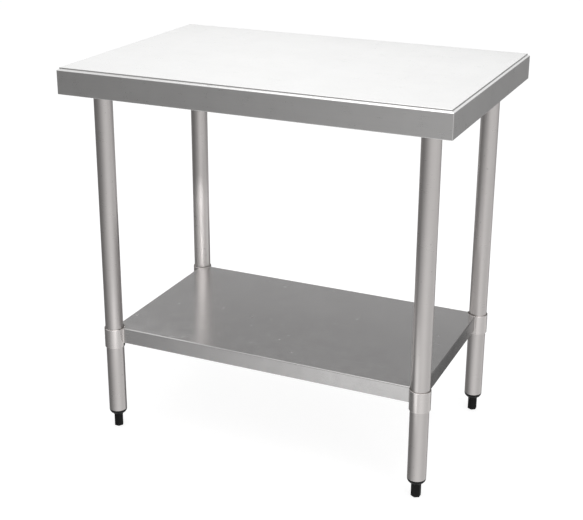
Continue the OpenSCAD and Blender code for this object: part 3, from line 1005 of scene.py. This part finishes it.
def make_floor():
    s = Shader("floor_paper")
    colour = s.mix(s.noise((3, 3, 3), 3, 0.5), grey(FLOOR_ALBEDO * 0.98), grey(FLOOR_ALBEDO))
    lit = s.node("ShaderNodeBsdfDiffuse", {"Color": colour})
    by_camera = s.node("ShaderNodeLightPath").outputs["Is Camera Ray"]
    seen = s.maths("MULTIPLY", by_camera, FLOOR_WHITE)
    white = s.node("ShaderNodeEmission", {"Strength": seen})
    both = s.node("ShaderNodeAddShader", {0: lit.outputs[0], 1: white.outputs[0]})
    side = 2 * FLOOR_HALF
    mesh = grid_mesh(
        "floor", Vector((-FLOOR_HALF, -FLOOR_HALF, 0)), Vector((side, 0, 0)),
        Vector((0, side, 0)), FLOOR_STEPS, FLOOR_STEPS,
    )
    add_stage_mesh("floor", mesh, s.finish(both)).visible_glossy = False


def tone_ramp(s, position, tones):
    made = s.node("ShaderNodeValToRGB", {"Fac": position})
    stops = made.color_ramp.elements
    while len(stops) > 1:
        stops.remove(stops[-1])
    for index, (degrees, tone) in enumerate(tones):
        place = (degrees + 180) / 360
        stop = stops[0] if index == 0 else stops.new(place)
        stop.position, stop.color = place, grey(tone)
    return made.outputs["Color"]


def make_wall():
    """The card round the set."""
    bm = bmesh.new()
    angles = [2 * math.pi * i / ROUND_STEPS for i in range(ROUND_STEPS)]
    circle = [(WALL_RADIUS * math.cos(a), WALL_RADIUS * math.sin(a)) for a in angles]
    low, high = (
        [bm.verts.new((x, y, z)) for x, y in circle] for z in (WALL_BOTTOM, WALL_TOP)
    )
    for i in range(ROUND_STEPS):
        j = (i + 1) % ROUND_STEPS
        bm.faces.new((low[j], low[i], high[i], high[j]))
    s = Shader("studio_wall")
    parts = s.node("ShaderNodeSeparateXYZ", {0: s.coordinates})
    azimuth = s.maths("ARCTAN2", parts.outputs["Y"], parts.outputs["X"])
    around = s.ranged(azimuth, -math.pi, math.pi, 0.0, 1.0)
    banded = s.ranged(parts.outputs["Z"], BAND_FROM, BAND_FULL, 0.0, 1.0)
    upper = s.ranged(parts.outputs["Z"], HIGH_FROM, HIGH_FULL, 0.0, 1.0)
    colour = s.mix(banded, tone_ramp(s, around, LOW_TONES), tone_ramp(s, around, BAND_TONES))
    colour = s.mix(upper, colour, tone_ramp(s, around, HIGH_TONES))
    level = s.maths("MULTIPLY_ADD", upper, HIGH_LEVEL - 1, 1.0)
    material = s.finish(s.node("ShaderNodeEmission", {"Color": colour, "Strength": level}))
    only_in_reflections(add_stage_mesh("studio_wall", mesh_of("studio_wall", bm), material))


def make_cards():
    for name, (middle, width, depth, second, axis, change, tones) in CARDS.items():
        middle = Vector(middle)
        way = UP if second == "Z" else Vector((0, 1, 0))
        across = Vector((width + 2 * CARD_FEATHER, 0, 0))
        up = way * (depth + 2 * CARD_FEATHER)
        mesh = grid_mesh(name, middle - across / 2 - up / 2, across, up)
        s = Shader(name)
        parts = s.node("ShaderNodeSeparateXYZ", {0: s.coordinates}).outputs
        tone = s.ranged(parts[axis], *change, *tones)
        lit = s.node("ShaderNodeEmission", {"Strength": tone})
        past = []
        for along, size in (("X", width), (second, depth)):
            off = s.maths("SUBTRACT", parts[along], getattr(middle, along.lower()))
            off = s.maths("ABSOLUTE", off)
            past.append(s.ranged(off, size / 2, size / 2 + CARD_FEATHER, 0.0, 1.0))
        clear = s.node("ShaderNodeBsdfTransparent")
        material = s.finish(s.node("ShaderNodeMixShader", {
            0: s.maths("MAXIMUM", *past), 1: lit.outputs[0], 2: clear.outputs[0],
        }))
        only_in_reflections(add_stage_mesh(name, mesh, material))


# The world's strength as a light, and as camera, metal and glass see it
WORLD_LIGHT = 0.50
WORLD_WHITE = 1.0


def make_world():
    world = bpy.data.worlds.new("studio")
    bpy.context.scene.world = world
    world.use_nodes = True
    tree = world.node_tree
    tree.nodes.clear()
    path = tree.nodes.new("ShaderNodeLightPath")
    seen = None
    for ray in ("Is Camera Ray", "Is Glossy Ray", "Is Transmission Ray"):
        if seen is None:
            seen = path.outputs[ray]
            continue
        either = tree.nodes.new("ShaderNodeMath")
        either.operation = "MAXIMUM"
        tree.links.new(seen, either.inputs[0])
        tree.links.new(path.outputs[ray], either.inputs[1])
        seen = either.outputs[0]
    strength = tree.nodes.new("ShaderNodeMapRange")
    strength.inputs["To Min"].default_value = WORLD_LIGHT
    strength.inputs["To Max"].default_value = WORLD_WHITE
    tree.links.new(seen, strength.inputs["Value"])
    background = tree.nodes.new("ShaderNodeBackground")
    background.inputs["Color"].default_value = grey(1.0)
    tree.links.new(strength.outputs[0], background.inputs["Strength"])
    output = tree.nodes.new("ShaderNodeOutputWorld")
    tree.links.new(background.outputs[0], output.inputs["Surface"])


# Lamps: place, aim, width, height, watts, and spread in degrees. The strip light is
# for the back left leg.
LAMPS = {
    "overhead_softbox": ((0.2, -0.3, 3.0), (0.0, 0.0, 0.6), 2.6, 2.2, 26.0, 180),
    "right_softbox": ((2.6, -1.6, 2.0), (0.0, 0.0, 0.6), 1.4, 1.8, 12.0, 180),
    "back_softbox": ((-1.9, 3.4, 2.4), (0.0, 0.0, 0.9), 3.4, 2.2, 10.0, 180),
    "strip_light": ((-0.131, -0.344, 0.39), (-0.384, 0.222, 0.37), 0.045, 0.22, 0.12, 10),
}


def make_lamps():
    for name, (place, aim, width, height, watts, spread) in LAMPS.items():
        data = bpy.data.lights.new(name, "AREA")
        data.shape = "RECTANGLE"
        data.size, data.size_y = width, height
        data.energy = watts
        data.spread = math.radians(spread)
        lamp = bpy.data.objects.new(name, data)
        bpy.context.scene.collection.objects.link(lamp)
        lamp.visible_camera = False
        lamp.location = place
        away = Vector(aim) - Vector(place)
        lamp.rotation_mode = "QUATERNION"
        lamp.rotation_quaternion = away.to_track_quat("-Z", "Y")


make_floor()
make_wall()
make_cards()
make_world()
make_lamps()
bpy.context.scene.view_settings.view_transform = "Standard"


# --------------------------------------------------------------- size and points
def write_points():
    """Writes how far each thing shows from its image point."""
    shown = [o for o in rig.pieces() if not o.hide_render]
    tree, corners = tree_of(shown)

    def in_view(place):
        way = place - CAMERA_PLACE
        hit = tree.ray_cast(CAMERA_PLACE, way.normalized())[3]
        return hit is None or hit > way.length - 0.6 * MM

    def end_in_view(axis, sign):
        ordered = sorted(((image_of(c)[axis] * sign, c) for c in corners), key=lambda e: e[0])
        return next(image_of(c)[axis] for _, c in ordered if in_view(c))

    def middle_in_view(*names):
        own = tree_of([bpy.data.objects[name] for name in names])[1]
        seen = [image_of(c) for c in own if in_view(c)]
        return [(min(v) + max(v)) / 2 for v in zip(*seen)]

    def corner_in_view(x, y, z):
        near = sorted(tree_of([NODES["worktop"]])[1], key=lambda c: (c - Vector((x, y, z))).length)
        return list(image_of(next(c for c in near if in_view(c))))

    low, high = cad_box[0], cad_box[1]
    edge_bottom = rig.box("worktop")[0].z
    inset = 5 * MM
    found = {
        "left_end": (end_in_view(0, 1), None),
        "right_end": (end_in_view(0, -1), None),
        "top_end": (None, end_in_view(1, 1)),
        "bottom_end": (None, end_in_view(1, -1)),
        "front_left_apron_corner": corner_in_view(low[0], low[1], edge_bottom),
        "front_right_apron_corner": corner_in_view(high[0], low[1], edge_bottom),
        "back_right_apron_corner": corner_in_view(high[0], high[1], edge_bottom),
        "back_left_surface_corner": corner_in_view(low[0] + inset, high[1] - inset, high[2]),
    }
    for corner in CORNERS:
        if f"{corner}_collar" in IMAGE_POINTS:
            found[f"{corner}_collar"] = middle_in_view(f"{corner}_shelf_collar")
        if f"{corner}_foot" in IMAGE_POINTS:
            found[f"{corner}_foot"] = middle_in_view(
                f"{corner}_tube_insert", f"{corner}_moulded_foot")
        if f"{corner}_weld" in IMAGE_POINTS:
            found[f"{corner}_weld"] = middle_in_view(f"{corner}_collar_weld")
    report = {}
    for name, point in IMAGE_POINTS.items():
        report[name] = {
            "point": point,
            "off": [None if p is None else round(f - p, 2) for f, p in zip(found[name], point)],
        }
    with open("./points.json", "w") as points_file:
        json.dump(report, points_file, indent=1)


try:
    write_points()
except Exception as fault:
    print("points.json was not written:", fault)

visual_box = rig.bounds()
with open("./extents.json", "w") as size_file:
    json.dump({
        "cad_box": [list(corner) for corner in cad_box],
        "visual_box": [list(corner) for corner in visual_box],
    }, size_file, indent=1)
